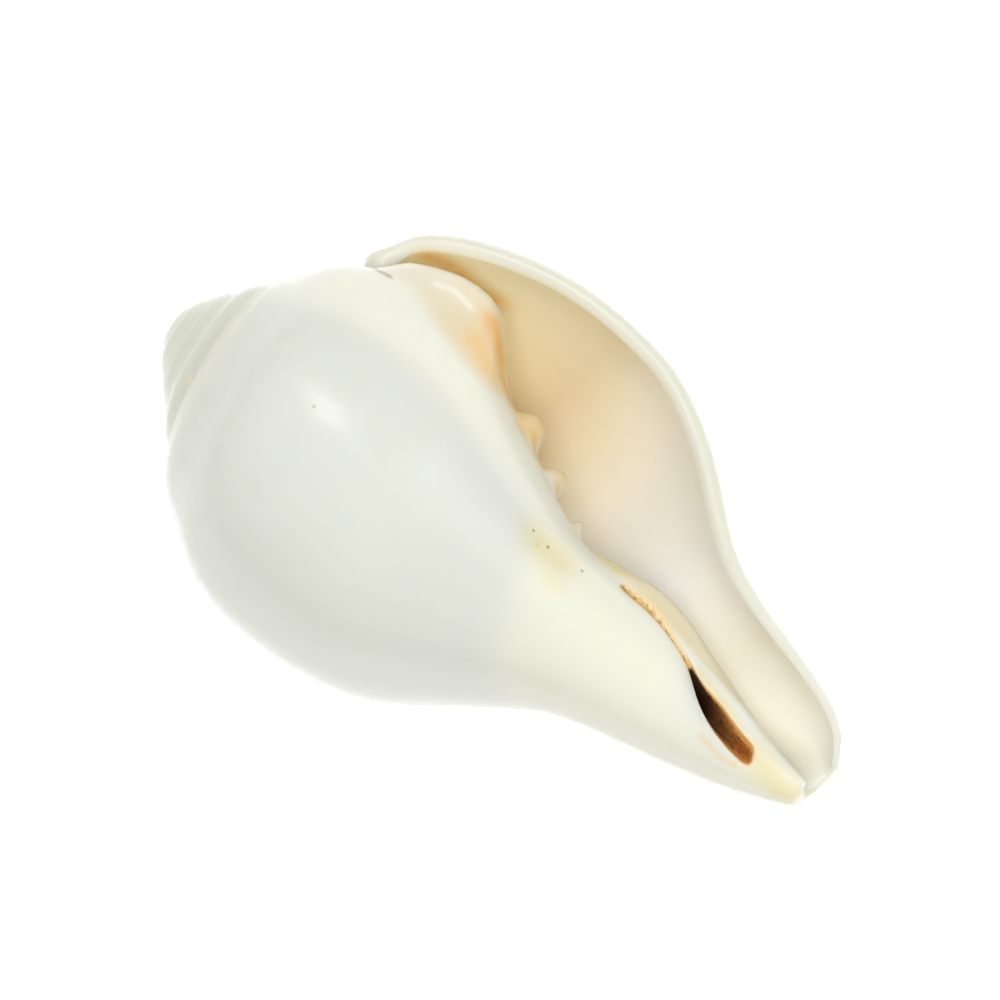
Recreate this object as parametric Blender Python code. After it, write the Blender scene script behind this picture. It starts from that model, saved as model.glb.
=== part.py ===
"""Shankha: a sacred chank shell, coiled to the right, lying with its aperture up.

The shell is one hollow solid. A profile of ten stations, from the suture to the end of the
canal, turns round the axis and grows. Its last turn is the body whorl, its earlier turns are
the spire and, inside the aperture, the inner wall with its plaits. The aperture's hollow lies
between the inner wall and the inner side of the last turn.

Lengths are in millimetres until the mesh is made. A place on the shell is (turn, station):
turn 0 is the outer lip, turn -1 is one whole turn earlier, station 0 is the suture and
station 9 is the end of the canal.
"""

import bmesh
import bpy
import numpy as np
from mathutils import Euler

MM = 0.001

# Each station's (radius, distance below the apex) at the outer lip and one turn before it.
STATIONS = {
    "ramp": ((36.4, 24.9), (16.2, 11.6)),
    "shoulder": ((43.6, 44.8), (19.8, 14.3)),
    "upper_side": ((43.4, 61.4), (25.3, 21.5)),
    "lower_side": ((40.9, 71.9), (25.1, 40.6)),
    "base": ((33.9, 83.6), (18.9, 56.1)),
    "neck": ((25.0, 93.8), (12.1, 69.1)),
    "canal_top": ((18.9, 105.1), (9.2, 78.7)),
    "canal_middle": ((12.7, 122.3), (6.2, 101.5)),
    "canal_end": ((5.2, 129.3), (2.7, 125.4)),
}
SUTURE_BACK = (14.2, 10.3)
SUTURE_STATION = 2.9
LAST_STATION = 9.0
RADIUS_PER_TURN = 1.59
HEIGHT_PER_TURN = 2.12
SPIRE_SHARE = (1.0, 1.0, 1.0, 1.0, 0.5, 0.0, 0.0, 0.0, 0.0, 0.0)
SPIRE_TURNS = 3

# The outer lip and the wall behind it, and how far the hollow goes in, in turns.
WALL_BODY = 3.0
WALL_CANAL = 1.3
WALL_CHANGES = (5.0, 9.0)
WALL_PER_TURN = 1.5
WALL_THIN_SHARE = 0.65
WALL_THIN_TO = 1.4
LIP_BULGE_SHARE = 0.36
LIP_FOOT = 0.3
LIP_SEGMENTS = 3
APEX_RISE = 0.5
APEX_RINGS = 2
FOOT_DROP = 0.9
FOOT_RINGS = 3
HOLLOW_TURNS_BODY = 0.82
HOLLOW_TURNS_CANAL = 0.34
HOLLOW_NARROWS_FROM = 5.6
HOLLOW_CLOSED_FROM = 7.4
HOLLOW_ROOF_AT_LIP = 0.8
HOLLOW_ROOF_DEEP = 1.5
HOLLOW_FLOOR_RISE = 0.6
HOLLOW_SETTLED_DEPTH = 0.3
HOLLOW_MEETS_FROM_DEPTH = 0.25

# Three plaits wind into the shell on its inner wall: (station, height, half width behind, in front).
PLAITS = ((5.02, 3.8, 0.15, 0.25), (5.61, 3.5, 0.13, 0.21), (6.42, 2.6, 0.13, 0.18))
PLAIT_ROUNDNESS = 3
PLAITS_START = -0.93
PLAITS_FULL = -1.0
RELIEF_SINKS_FROM = -1.3
RELIEF_ENDS = -1.75

# The callus, a broad rounded ridge on the inner wall next to the suture.
CALLUS_RIDGE = ((3.86, 7.4, 0.72, 0.5),)
CALLUS_FOOT = (2.92, 3.3)
CALLUS_ROUNDNESS = 2
CALLUS_START = -0.885
CALLUS_FULL = -0.975

# The outer lip's rounded nose where it leaves the suture.
NOSE_STATION = 0.22
NOSE_HEIGHT = 1.6
NOSE_HALF_WIDTH = 0.2
NOSE_TURNS = 0.12

# The inner lip's raised edge beside the canal: its height at each station, and its turn.
INNER_LIP_STATIONS = (6.8, 7.15, 7.55, 7.8, 8.0, 8.3, 8.6)
INNER_LIP_HEIGHTS = (0.0, 1.5, 3.3, 2.8, 1.6, 0.4, 0.0)
INNER_LIP_TURN = -0.965
INNER_LIP_HALF_WIDTH = 0.05

# The inner wall tapers to a point at the end of the canal: the share of its radius that goes.
TAPER_STATIONS = (8.1, 8.5, 8.8, 9.0)
TAPER_SHARES = (0.0, 0.2, 0.6, 0.85)
TAPER_START = -0.62
TAPER_FULL = -0.95

# The slit outside the inner lip runs down the canal and opens into a deep slot.
SLIT_STATIONS = (7.2, 7.65, 7.83, 7.95, 8.2, 8.5)
SLIT_ANGLES = (40.0, 43.0, 60.0, 80.0, 102.0, 116.0)
SLIT_HALF_ANGLE = 11.0
SLIT_DEPTH = 0.8
SLIT_STARTS_OVER = 0.2
SLIT_WIDTH = 0.7
SLOT_WIDTH = 1.0
SLIT_STEEPNESS = 4
SLOT_DEPTH = 4.6
SLOT_STATIONS = (7.85, 8.0, 8.42, 8.54)

# How the shell is turned to lie, in degrees about X, Y and Z, and the flat worn where it rests.
REST_TURN = (-99.6, 12.5, 87.9)
REST_WORN = 0.6

# Rows from the suture to the canal's end.
ROWS_SPIRE = (0.0, 0.22, 0.5, 0.95, 1.45, 1.95, 2.45, 2.9)
ROWS_SIDE = (3.35, 3.5, 3.72, 3.95, 4.2, 4.5, 4.72, 4.87, 5.02, 5.17, 5.32, 5.47, 5.62, 5.77, 5.95, 6.15, 6.3, 6.45, 6.6)
ROWS_CANAL = (6.85, 7.15, 7.4, 7.6, 7.8, 7.92, 8.07, 8.25, 8.4, 8.52, 8.75, 9.0)

# Columns round one turn, in degrees. Down the canal, the ones at the slit follow it.
COLUMNS_FRONT = (0, 8, 16, 24, 32, 40, 50, 60, 70, 80, 95, 110, 125, 137)
COLUMNS_SLIT = (40, 50, 60, 70, 80)
COLUMNS_ROUND = 20
COLUMNS_FOLLOW_FROM = (6.7, 7.2)
HOLLOW_COLUMNS = 28
HOLLOW_COLUMNS_SPREAD = 1.25


def smooth(x):
    """Goes from 0 to 1 with level ends."""
    x = np.clip(x, 0.0, 1.0)
    return x * x * (3.0 - 2.0 * x)


def through(t, places, values):
    """A smooth curve through values at places, level outside them."""
    places = np.array(places)
    values = np.array(values)
    slope = np.gradient(values, places)
    slope[0] = slope[-1] = 0.0
    t = np.clip(t, places[0], places[-1])
    k = np.clip(np.searchsorted(places, t, side="right") - 1, 0, len(places) - 2)
    width = places[k + 1] - places[k]
    b = (t - places[k]) / width
    a = 1.0 - b
    ends = values[k] * (1.0 + 2.0 * b) * a**2 + values[k + 1] * (1.0 + 2.0 * a) * b**2
    return ends + width * a * b * (slope[k] * a - slope[k + 1] * b)


def station_weights(t):
    """How much each of the ten stations counts at t, for a natural cubic curve through them."""
    n = len(STATIONS) + 1
    left = np.eye(n)
    right = np.zeros((n, n))
    for i in range(1, n - 1):
        left[i, i - 1 : i + 2] = 1.0, 4.0, 1.0
        right[i, i - 1 : i + 2] = 6.0, -12.0, 6.0
    bend = np.linalg.solve(left, right)
    t = np.asarray(t, float)
    k = np.clip(np.floor(t).astype(int), 0, n - 2)
    b = (t - k)[..., None]
    a = 1.0 - b
    unit = np.eye(n)
    return a * unit[k] + b * unit[k + 1] + ((a**3 - a) * bend[k] + (b**3 - b) * bend[k + 1]) / 6.0


def station_points():
    """The stations as two arrays: at the lip, and one turn before it."""
    lip = np.array([(0.0, 0.0)] + [pair[0] for pair in STATIONS.values()])
    back = np.array([SUTURE_BACK] + [pair[1] for pair in STATIONS.values()])
    lip[0] = station_weights(SUTURE_STATION) @ back
    return lip, back


def grown(turn):
    """Each station's radius and distance below the apex at a turn. The canal's stations grow at
    their own rates. The upper ones settle, two turns back, at one rate for the whole spire."""
    lip, back = station_points()
    own = np.log(lip / back)
    spire = np.log((RADIUS_PER_TURN, HEIGHT_PER_TURN))
    turn = np.asarray(turn, float)[..., None, None]
    settling = 2.0 / 3.0 * (1.0 - np.clip(1.0 + turn / 2.0, 0.0, None) ** 3)
    settling_back = 2.0 / 3.0 * (1.0 - 0.5**3)
    upper = spire * turn - (own - spire) * settling / settling_back
    share = np.array(SPIRE_SHARE)[:, None]
    return lip * np.exp(share * upper + (1.0 - share) * own * turn)


def whorl(turn, t):
    """The smooth surface at (turn, station): x, y and z in the shell's own frame, apex up."""
    turn, t = np.broadcast_arrays(np.asarray(turn, float), np.asarray(t, float))
    radius_and_drop = np.einsum("...s,...sk->...k", station_weights(t), grown(turn))
    angle = 2.0 * np.pi * turn
    radius = radius_and_drop[..., 0]
    return np.stack([radius * np.cos(angle), -radius * np.sin(angle), -radius_and_drop[..., 1]], -1)


def outward(turn, t):
    """The unit normal of the smooth surface."""
    step = 1e-4
    along = whorl(turn + step, t) - whorl(turn - step, t)
    down = whorl(turn, np.minimum(t + step, LAST_STATION)) - whorl(turn, np.maximum(t - step, 0.0))
    normal = np.cross(along, down)
    return normal / np.linalg.norm(normal, axis=-1, keepdims=True)


def ridges(t, shapes, roundness):
    """The height of ridges along the stations: (station, height, half width behind, in front)."""
    height = 0.0
    for station, full, behind, before in shapes:
        width = np.where(t < station, behind, before)
        height = height + full * np.exp(-(np.abs((t - station) / width) ** roundness))
    return height


def inner_relief(turn, t):
    """The plaits and the callus. They rise at the inner lip, and get lower and sink deep inside."""
    plait_rise = smooth((PLAITS_START - turn) / (PLAITS_START - PLAITS_FULL))
    callus_rise = smooth((CALLUS_START - turn) / (CALLUS_START - CALLUS_FULL))
    foot, top = CALLUS_FOOT
    callus = ridges(t, CALLUS_RIDGE, CALLUS_ROUNDNESS) * smooth((t - foot) / (top - foot))
    deep = smooth((turn - RELIEF_ENDS) / (RELIEF_SINKS_FROM - RELIEF_ENDS)) * RADIUS_PER_TURN ** (turn + 1.0)
    return (ridges(t, PLAITS, PLAIT_ROUNDNESS) * plait_rise + callus * callus_rise) * deep


def nose(turn, t):
    """The nose of the outer lip."""
    height = NOSE_HEIGHT * np.exp(-(((t - NOSE_STATION) / NOSE_HALF_WIDTH) ** 2))
    return height * smooth(1.0 + turn / NOSE_TURNS)


def inner_lip(turn, t):
    """The inner lip's raised edge along the canal."""
    height = through(t, INNER_LIP_STATIONS, INNER_LIP_HEIGHTS)
    return height * np.exp(-(((turn - INNER_LIP_TURN) / INNER_LIP_HALF_WIDTH) ** 2))


def taper(turn, t):
    """How much of its radius the inner wall loses towards the end of the canal."""
    share = through(t, TAPER_STATIONS, TAPER_SHARES)
    return share * smooth((TAPER_START - turn) / (TAPER_START - TAPER_FULL))


def slit_turn(t):
    """Where the slit runs."""
    return through(t, SLIT_STATIONS, SLIT_ANGLES) / 360.0 - 1.0


def slit(turn, t):
    """How deep the slit is, and the slot that it opens into."""
    first, full, last, end = SLOT_STATIONS
    slot = smooth((t - first) / (full - first)) * smooth((end - t) / (end - last))
    line = smooth((t - SLIT_STATIONS[0]) / SLIT_STARTS_OVER) * smooth((end - t) / (end - last))
    across = (turn - slit_turn(t)) / (SLIT_HALF_ANGLE / 360.0)
    width = SLIT_WIDTH + (SLOT_WIDTH - SLIT_WIDTH) * slot
    depth = SLIT_DEPTH * line + (SLOT_DEPTH - SLIT_DEPTH) * slot
    return depth * np.exp(-((across / width) ** SLIT_STEEPNESS))


def skin(turn, t):
    """The shell's own surface: the smooth one with its callus, plaits, inner lip, slit and nose."""
    relief = inner_relief(turn, t) + inner_lip(turn, t) + nose(turn, t) - slit(turn, t)
    surface = whorl(turn, t) + relief[..., None] * outward(turn, t)
    surface[..., :2] *= 1.0 - taper(turn, t)[..., None]
    return surface


def spire_skin(turn, share):
    """A spire whorl from its suture (share 0) to where the next whorl covers it (share 1)."""
    t = SUTURE_STATION * share
    gap = whorl(turn + 1.0, 0.0 * t) - whorl(turn, SUTURE_STATION + 0.0 * t)
    return whorl(turn, t) + (share**2)[..., None] * gap


def hollow_turns(t):
    """How many turns the hollow goes in at a station: far in the body, and less in the canal."""
    narrowing = smooth((t - HOLLOW_NARROWS_FROM) / (LAST_STATION - HOLLOW_NARROWS_FROM))
    return HOLLOW_TURNS_BODY + (HOLLOW_TURNS_CANAL - HOLLOW_TURNS_BODY) * narrowing


def floor_stations(t, first, depth):
    """The stations of the hollow's floor. Its corner leaves the suture as the hollow goes in."""
    return t + HOLLOW_FLOOR_RISE * smooth(depth / HOLLOW_SETTLED_DEPTH) * np.clip(1.0 - (t - first), 0.0, 1.0)


def hollow_wall(turn, t, corner, floor, depth):
    """The inner side of the last turn. It starts at the corner under the suture, and in the
    canal it runs down to the floor, which is the inner wall, as the hollow ends (depth 1)."""
    change, end = WALL_CHANGES
    thickness = WALL_BODY + (WALL_CANAL - WALL_BODY) * smooth((t - change) / (end - change))
    thickness = thickness * (WALL_THIN_SHARE + (1.0 - WALL_THIN_SHARE) * smooth(t / WALL_THIN_TO))
    offset = whorl(turn, t) - (thickness * WALL_PER_TURN**turn)[..., None] * outward(turn, t)
    settled = smooth(depth / HOLLOW_SETTLED_DEPTH)
    roof_end = HOLLOW_ROOF_AT_LIP + (HOLLOW_ROOF_DEEP - HOLLOW_ROOF_AT_LIP) * settled
    roof = smooth(t / roof_end)[..., None]
    surface = corner * (1.0 - roof) + offset * roof
    closing = smooth((t - HOLLOW_NARROWS_FROM) / (HOLLOW_CLOSED_FROM - HOLLOW_NARROWS_FROM))
    meets_from = HOLLOW_MEETS_FROM_DEPTH
    meeting = (closing * smooth((depth - meets_from) / (1.0 - meets_from)))[..., None]
    return surface * (1.0 - meeting) + floor * meeting


class Mesh:
    """Points and faces of the shell while it is being made."""

    def __init__(self):
        self.points = []
        self.faces = []

    def add(self, points):
        """Adds points, and gives their numbers in the same layout."""
        points = np.asarray(points)
        first = len(self.points)
        self.points.extend(points.reshape(-1, 3))
        return first + np.arange(points[..., 0].size).reshape(points.shape[:-1])

    def face(self, *corners):
        """Adds a face, without the corners that repeat."""
        kept = [int(c) for i, c in enumerate(corners) if c not in corners[:i]]
        if len(kept) > 2:
            self.faces.append(kept)

    def grid(self, numbers):
        """Faces over a grid of point numbers."""
        rows, columns = numbers.shape
        for i in range(rows - 1):
            for j in range(columns - 1):
                self.face(numbers[i, j], numbers[i + 1, j], numbers[i + 1, j + 1], numbers[i, j + 1])

    def zip(self, one, other, one_places, other_places):
        """Faces between two chains of point numbers, each point next to the one at its place."""
        i = j = 0
        while i < len(one) - 1 or j < len(other) - 1:
            ahead = j == len(other) - 1 or (i < len(one) - 1 and one_places[i + 1] <= other_places[j + 1])
            if ahead:
                self.face(one[i], one[i + 1], other[j])
                i += 1
            else:
                self.face(one[i], other[j + 1], other[j])
                j += 1

    def dome(self, loop, rise, rings):
        """A rounded cap over a closed loop of point numbers, round the shell's axis."""
        edge = np.array([self.points[i] for i in loop])
        centre = np.array((0.0, 0.0, edge[:, 2].mean()))
        inner = np.array(loop)
        for angle in np.linspace(0.0, np.pi / 2.0, rings + 1)[1:-1]:
            outer = inner
            inner = self.add(centre + (edge - centre) * np.cos(angle) + (0.0, 0.0, rise * np.sin(angle)))
            self.grid(np.vstack([np.append(outer, outer[0]), np.append(inner, inner[0])]))
        middle = self.add([centre + (0.0, 0.0, rise)])[0]
        for a, b in zip(inner, np.roll(inner, -1)):
            self.face(a, b, middle)

    def compact(self):
        """The points that faces use, and the faces numbered to match."""
        used = sorted({corner for face in self.faces for corner in face})
        number = {old: new for new, old in enumerate(used)}
        return [self.points[i] for i in used], [[number[c] for c in face] for face in self.faces]


def rows():
    """The stations of the rows, from the suture to the end of the canal."""
    lip_foot = SUTURE_STATION + LIP_FOOT * np.arange(1, LIP_SEGMENTS + 1) / LIP_SEGMENTS
    return np.concatenate([ROWS_SPIRE, lip_foot, ROWS_SIDE, ROWS_CANAL])


def columns(t):
    """The turns of one whorl's columns, at each row's station."""
    round_shell = np.linspace(COLUMNS_FRONT[-1], 360.0, COLUMNS_ROUND + 1)[1:]
    straight = np.concatenate([COLUMNS_FRONT, round_shell])
    follow = smooth((t - COLUMNS_FOLLOW_FROM[0]) / (COLUMNS_FOLLOW_FROM[1] - COLUMNS_FOLLOW_FROM[0]))
    turns = []
    for station, share in zip(t, follow):
        slit_angle = (slit_turn(station) + 1.0) * 360.0
        places = slit_angle + SLIT_HALF_ANGLE * np.arange(-2, 3)
        moved = np.interp(straight, (0, *COLUMNS_SLIT, 150, 360), (0, *places, 150, 360))
        turns.append((straight + share * (moved - straight)) / 360.0 - 1.0)
    return np.array(turns).T


def add_spire(mesh, body, turn, t):
    """The whorls before the last one, up to a blunt apex."""
    last = len(ROWS_SPIRE) - 1
    share = t[: last + 1] / SUTURE_STATION
    ring = body
    for k in range(1, SPIRE_TURNS + 1):
        later = ring
        ring = mesh.add(spire_skin(turn[:, : last + 1] - k, share[None, :]))
        ring[-1, :] = later[0, : last + 1]
        ring[:, -1] = later[:, 0]
        mesh.grid(ring)
    top = list(ring[::-1, 0]) + list(ring[0, 1:-1])
    mesh.dome(top, APEX_RISE, APEX_RINGS)


def rounded(outer, inner, direction):
    """Rows of points between two edges, in a rounded strip that bulges in a direction."""
    share = (np.arange(1, LIP_SEGMENTS) / LIP_SEGMENTS)[:, None, None]
    width = np.linalg.norm(inner - outer, axis=-1, keepdims=True).clip(max=WALL_BODY)
    middle = outer + (inner - outer) * smooth(share)
    return middle + LIP_BULGE_SHARE * width * np.sin(np.pi * share) * direction


def unit(vectors):
    return vectors / np.linalg.norm(vectors, axis=-1, keepdims=True)


def shell_mesh():
    """The whole closed surface."""
    t = rows()
    turn = columns(t)
    suture_row = len(ROWS_SPIRE) - 1
    corner_row = suture_row + LIP_SEGMENTS
    mesh = Mesh()

    body = mesh.add(skin(turn, t[None, :]))
    body[-1, 0] = body[0, suture_row]
    mesh.grid(body)
    add_spire(mesh, body, turn, t)

    depth = (np.linspace(1.0, 0.0, HOLLOW_COLUMNS + 1) ** HOLLOW_COLUMNS_SPREAD)[:, None]
    inward = -hollow_turns(t)[None, :] * depth
    floor = skin(inward - 1.0, floor_stations(t[None, :], t[corner_row], depth))
    corner = floor[:, corner_row : corner_row + 1]
    inner = mesh.add(floor[:, corner_row:])
    inner[-1, :] = body[0, corner_row:]
    mesh.grid(inner)
    wall_points = hollow_wall(inward, t[None, :], corner, floor, depth)
    wall = mesh.add(wall_points)
    wall[:, 0] = inner[:, 0]
    closed = t[corner_row:] >= HOLLOW_CLOSED_FROM
    wall[0, corner_row:][closed] = inner[0][closed]
    mesh.grid(wall)

    for j in range(1, corner_row):
        mesh.face(wall[0, 0], wall[0, j], wall[0, j + 1])
    mesh.grid(np.vstack([wall[0, corner_row:], inner[0]]))

    step = 1e-3
    growth = unit(whorl(0.0, t) - whorl(-step, t))
    strip = mesh.add(rounded(skin(0.0, t), wall_points[-1], growth))
    lip = np.vstack([body[-1], strip, wall[-1]])
    lip[:, 0] = body[0, suture_row : corner_row + 1]
    mesh.grid(lip)

    end = LAST_STATION
    down = unit(whorl(inward[:, -1], end) - whorl(inward[:, -1], end - step))
    strip = mesh.add(rounded(skin(inward[:, -1], end), wall_points[:, -1], down))
    rim = np.vstack([strip, wall[:, -1]])
    rim[:, -1] = lip[1:, -1]
    mesh.grid(rim)
    first = int(np.abs(turn[:, -1] - inward[0, -1]).argmin())
    mesh.zip(body[first:, -1], rim[0], turn[first:, -1], inward[:, -1])
    foot = list(body[: first + 1, -1]) + list(rim[:, 0]) + list(inner[1:-1, -1])
    mesh.dome(foot, -FOOT_DROP, FOOT_RINGS)
    return mesh.compact()


def ivory():
    """Polished, slightly greenish ivory."""
    material = bpy.data.materials.new("ivory")
    material.use_nodes = True
    shader = material.node_tree.nodes["Principled BSDF"]
    shader.inputs["Base Color"].default_value = (0.80, 0.79, 0.72, 1.0)
    shader.inputs["Roughness"].default_value = 0.3
    shader.inputs["Metallic"].default_value = 0.0
    return material


def lying(points):
    """The points turned so that the shell lies as it rests, its box's middle over the origin and
    the part that is worn off the back below z = 0."""
    turned = np.asarray(points) @ np.array(Euler(np.radians(REST_TURN).tolist()).to_matrix()).T
    low, high = turned.min(axis=0), turned.max(axis=0)
    return turned - ((low[0] + high[0]) / 2.0, (low[1] + high[1]) / 2.0, low[2] + REST_WORN)


def wear(net):
    """Cuts the back off flat where the shell rests."""
    everything = net.verts[:] + net.edges[:] + net.faces[:]
    cut = bmesh.ops.bisect_plane(net, geom=everything, plane_no=(0.0, 0.0, 1.0), clear_inner=True)
    edges = [part for part in cut["geom_cut"] if isinstance(part, bmesh.types.BMEdge)]
    bmesh.ops.contextual_create(net, geom=edges)


def build():
    for old in list(bpy.data.objects):
        bpy.data.objects.remove(old, do_unlink=True)
    collection = bpy.data.collections.new("shankha_shell")
    bpy.context.scene.collection.children.link(collection)
    points, faces = shell_mesh()
    mesh = bpy.data.meshes.new("shell")
    mesh.from_pydata((lying(points) * MM).tolist(), [], faces)
    net = bmesh.new()
    net.from_mesh(mesh)
    wear(net)
    bmesh.ops.recalc_face_normals(net, faces=net.faces)
    net.to_mesh(mesh)
    net.free()
    mesh.shade_smooth()
    mesh.materials.append(ivory())
    collection.objects.link(bpy.data.objects.new("shell", mesh))


build()
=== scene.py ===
"""The look of a sacred chank shell, which lies with its aperture up, as the photograph shows it.

The shell is one fine mesh from the same curves as the CAD node that it replaces. A place on it is
(turn, station): turn 0 is the outer lip, turn -1 is one whole turn earlier, station 0 is the suture
and station 9 is the end of the canal. Lengths are in millimetres until the mesh is made. The mesh
carries its places as attributes, and the material reads its colours from them.
"""

import bmesh
import bpy
import numpy as np
from mathutils import Euler, Matrix, Vector


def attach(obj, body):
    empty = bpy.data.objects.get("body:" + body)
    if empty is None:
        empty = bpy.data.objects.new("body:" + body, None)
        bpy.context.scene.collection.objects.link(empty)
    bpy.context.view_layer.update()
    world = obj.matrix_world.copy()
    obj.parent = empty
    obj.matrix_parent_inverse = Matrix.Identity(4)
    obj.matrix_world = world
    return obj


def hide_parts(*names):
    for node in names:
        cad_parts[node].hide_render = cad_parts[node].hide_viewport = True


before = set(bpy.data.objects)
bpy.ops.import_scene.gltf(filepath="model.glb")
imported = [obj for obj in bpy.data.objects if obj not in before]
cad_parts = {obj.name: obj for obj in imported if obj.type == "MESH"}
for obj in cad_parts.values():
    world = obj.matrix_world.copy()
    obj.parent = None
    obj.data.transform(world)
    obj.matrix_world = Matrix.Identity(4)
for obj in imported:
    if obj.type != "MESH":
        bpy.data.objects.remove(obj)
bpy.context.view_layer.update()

MM = 0.001

# Each station's (radius, distance below the apex) at the outer lip and one turn before it.
STATIONS = {
    "ramp": ((36.4, 24.9), (16.2, 11.6)),
    "shoulder": ((43.6, 44.8), (19.8, 14.3)),
    "upper_side": ((43.4, 61.4), (25.3, 21.5)),
    "lower_side": ((40.9, 71.9), (25.1, 40.6)),
    "base": ((33.9, 83.6), (18.9, 56.1)),
    "neck": ((25.0, 93.8), (12.1, 69.1)),
    "canal_top": ((18.9, 105.1), (9.2, 78.7)),
    "canal_middle": ((12.7, 122.3), (6.2, 101.5)),
    "canal_end": ((5.2, 129.3), (2.7, 125.4)),
}
SUTURE_BACK = (14.2, 10.3)
SUTURE_STATION = 2.9
LAST_STATION = 9.0
RADIUS_PER_TURN = 1.59
HEIGHT_PER_TURN = 2.12
SPIRE_SHARE = (1.0, 1.0, 1.0, 1.0, 0.5, 0.0, 0.0, 0.0, 0.0, 0.0)
SPIRE_TURNS = 3

# The outer lip and the wall behind it, and how far the hollow goes in, in turns.
WALL_BODY = 3.0
WALL_CANAL = 1.3
WALL_CHANGES = (5.0, 9.0)
WALL_PER_TURN = 1.5
WALL_THIN_SHARE = 0.65
WALL_THIN_TO = 1.4
LIP_BULGE_SHARE = 0.36
LIP_FOOT = 0.3
APEX_RISE = 0.5
FOOT_DROP = 0.9
HOLLOW_TURNS_BODY = 0.82
HOLLOW_TURNS_CANAL = 0.34
HOLLOW_NARROWS_FROM = 5.6
HOLLOW_CLOSED_FROM = 7.4
HOLLOW_ROOF_AT_LIP = 0.8
HOLLOW_ROOF_DEEP = 1.5
HOLLOW_FLOOR_RISE = 0.6
HOLLOW_SETTLED_DEPTH = 0.3
HOLLOW_MEETS_FROM_DEPTH = 0.25

# Three plaits wind into the shell on its inner wall: (station, height, half width behind, in
# front). They begin at a turn and have their full height at another, and sink again deep inside.
PLAITS = ((5.02, 3.8, 0.15, 0.25), (5.61, 3.5, 0.13, 0.21), (6.42, 2.6, 0.13, 0.18))
PLAIT_ROUNDNESS = 3
PLAITS_START = -0.93
PLAITS_FULL = -1.0
RELIEF_SINKS_FROM = -1.3
RELIEF_ENDS = -1.75

# The callus, a broad rounded ridge on the inner wall next to the suture, written in the same way.
CALLUS_RIDGE = ((3.86, 7.4, 0.72, 0.5),)
CALLUS_FOOT = (2.92, 3.3)
CALLUS_ROUNDNESS = 2
CALLUS_START = -0.885
CALLUS_FULL = -0.975

# The outer lip's rounded nose where it leaves the suture.
NOSE_STATION = 0.22
NOSE_HEIGHT = 1.6
NOSE_HALF_WIDTH = 0.2
NOSE_TURNS = 0.12

# The inner lip's raised edge beside the canal: its height at each station, and its turn.
INNER_LIP_STATIONS = (6.8, 7.15, 7.55, 7.8, 8.0, 8.3, 8.6)
INNER_LIP_HEIGHTS = (0.0, 1.5, 3.3, 2.8, 1.6, 0.4, 0.0)
INNER_LIP_TURN = -0.965
INNER_LIP_HALF_WIDTH = 0.05

# The inner wall tapers to a point at the end of the canal: the share of its radius that goes.
TAPER_STATIONS = (8.1, 8.5, 8.8, 9.0)
TAPER_SHARES = (0.0, 0.2, 0.6, 0.85)
TAPER_START = -0.62
TAPER_FULL = -0.95

# The slit outside the inner lip runs down the canal and opens into a deep slot.
SLIT_STATIONS = (7.2, 7.65, 7.83, 7.95, 8.2, 8.5)
SLIT_ANGLES = (40.0, 43.0, 60.0, 80.0, 102.0, 116.0)
SLIT_HALF_ANGLE = 11.0
SLIT_DEPTH = 0.8
SLIT_STARTS_OVER = 0.2
SLIT_WIDTH = 0.7
SLOT_WIDTH = 1.0
SLIT_STEEPNESS = 4
SLOT_DEPTH = 4.6
SLOT_STATIONS = (7.85, 8.0, 8.42, 8.54)

# The slit is a narrow crack, and the slot widens from it to its full width, at stations.
CRACK_WIDTH_SHARE = 0.45
SLOT_WIDENS = (7.85, 8.2)

# A low rounded welt runs along the suture with a shallow groove beside it: (station, height, half
# width behind, in front). The spire is worn nearly smooth: how much of its whorls' swelling goes.
WELT = ((0.16, 0.3, 0.12, 0.22), (0.75, -0.1, 0.22, 0.4))
WELT_ROUNDNESS = 2
WELT_LIP_TURNS = 0.3
SPIRE_WORN = 0.9

# A soft band on the last spire whorl beside the suture: its middle as a share of the whorl, and
# its height and width, and the turns over which it and the sutures' lines fade upwards.
SPIRE_BAND = (0.66, 0.4, 0.2)
SPIRE_BAND_FADES = (-2.25, -1.85)
SPIRE_LINES_FADE = (-1.35, -1.0)
SPIRE_LINES_LEFT = 0.1

# The canal's tip is worn smooth from this station on, by this many rounds of smoothing, each of
# which moves a point by this share of the way to the middle of its neighbours.
TIP_WORN_FROM = 8.55
TIP_WORN_ROUNDS = 24
TIP_WORN_SHARE = 0.5

# How the shell is turned to lie, in degrees about X, Y and Z, and where its own frame's origin
# comes to be, so that it lies on z = 0 as the CAD node does.
REST_TURN = (-99.6, 12.5, 87.9)
LYING_OFFSET = (64.194, 4.600, -29.632)

# Rows from the suture to the canal's end, and columns round one turn, in degrees.
ROWS_WELT = np.linspace(0.0, 0.6, 13)[:-1]
ROWS_SPIRE = np.concatenate([ROWS_WELT, np.linspace(0.6, SUTURE_STATION, 19)])
ROWS_SIDE = np.linspace(3.2, 6.7, 87)[1:]
ROWS_NECK = np.linspace(6.7, 7.7, 19)[1:]
ROWS_SLOT = np.linspace(7.7, 8.6, 41)[1:]
ROWS_TIP = np.linspace(8.6, 9.0, 11)[1:]
COLUMNS_LIP = np.linspace(0, 40, 33)[:-1]
COLUMNS_FINE = np.linspace(40, 80, 41)[:-1]
COLUMNS_FRONT = np.concatenate([COLUMNS_LIP, COLUMNS_FINE, np.linspace(80, 137, 30)])
COLUMNS_ROUND = 96

# In the canal the columns at these angles move to the slit, and those beyond the last angle stay.
COLUMNS_SLIT = (40, 50, 60, 70, 80)
COLUMNS_STAY_FROM = 150
COLUMNS_FOLLOW_FROM = (6.7, 7.2)

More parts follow.
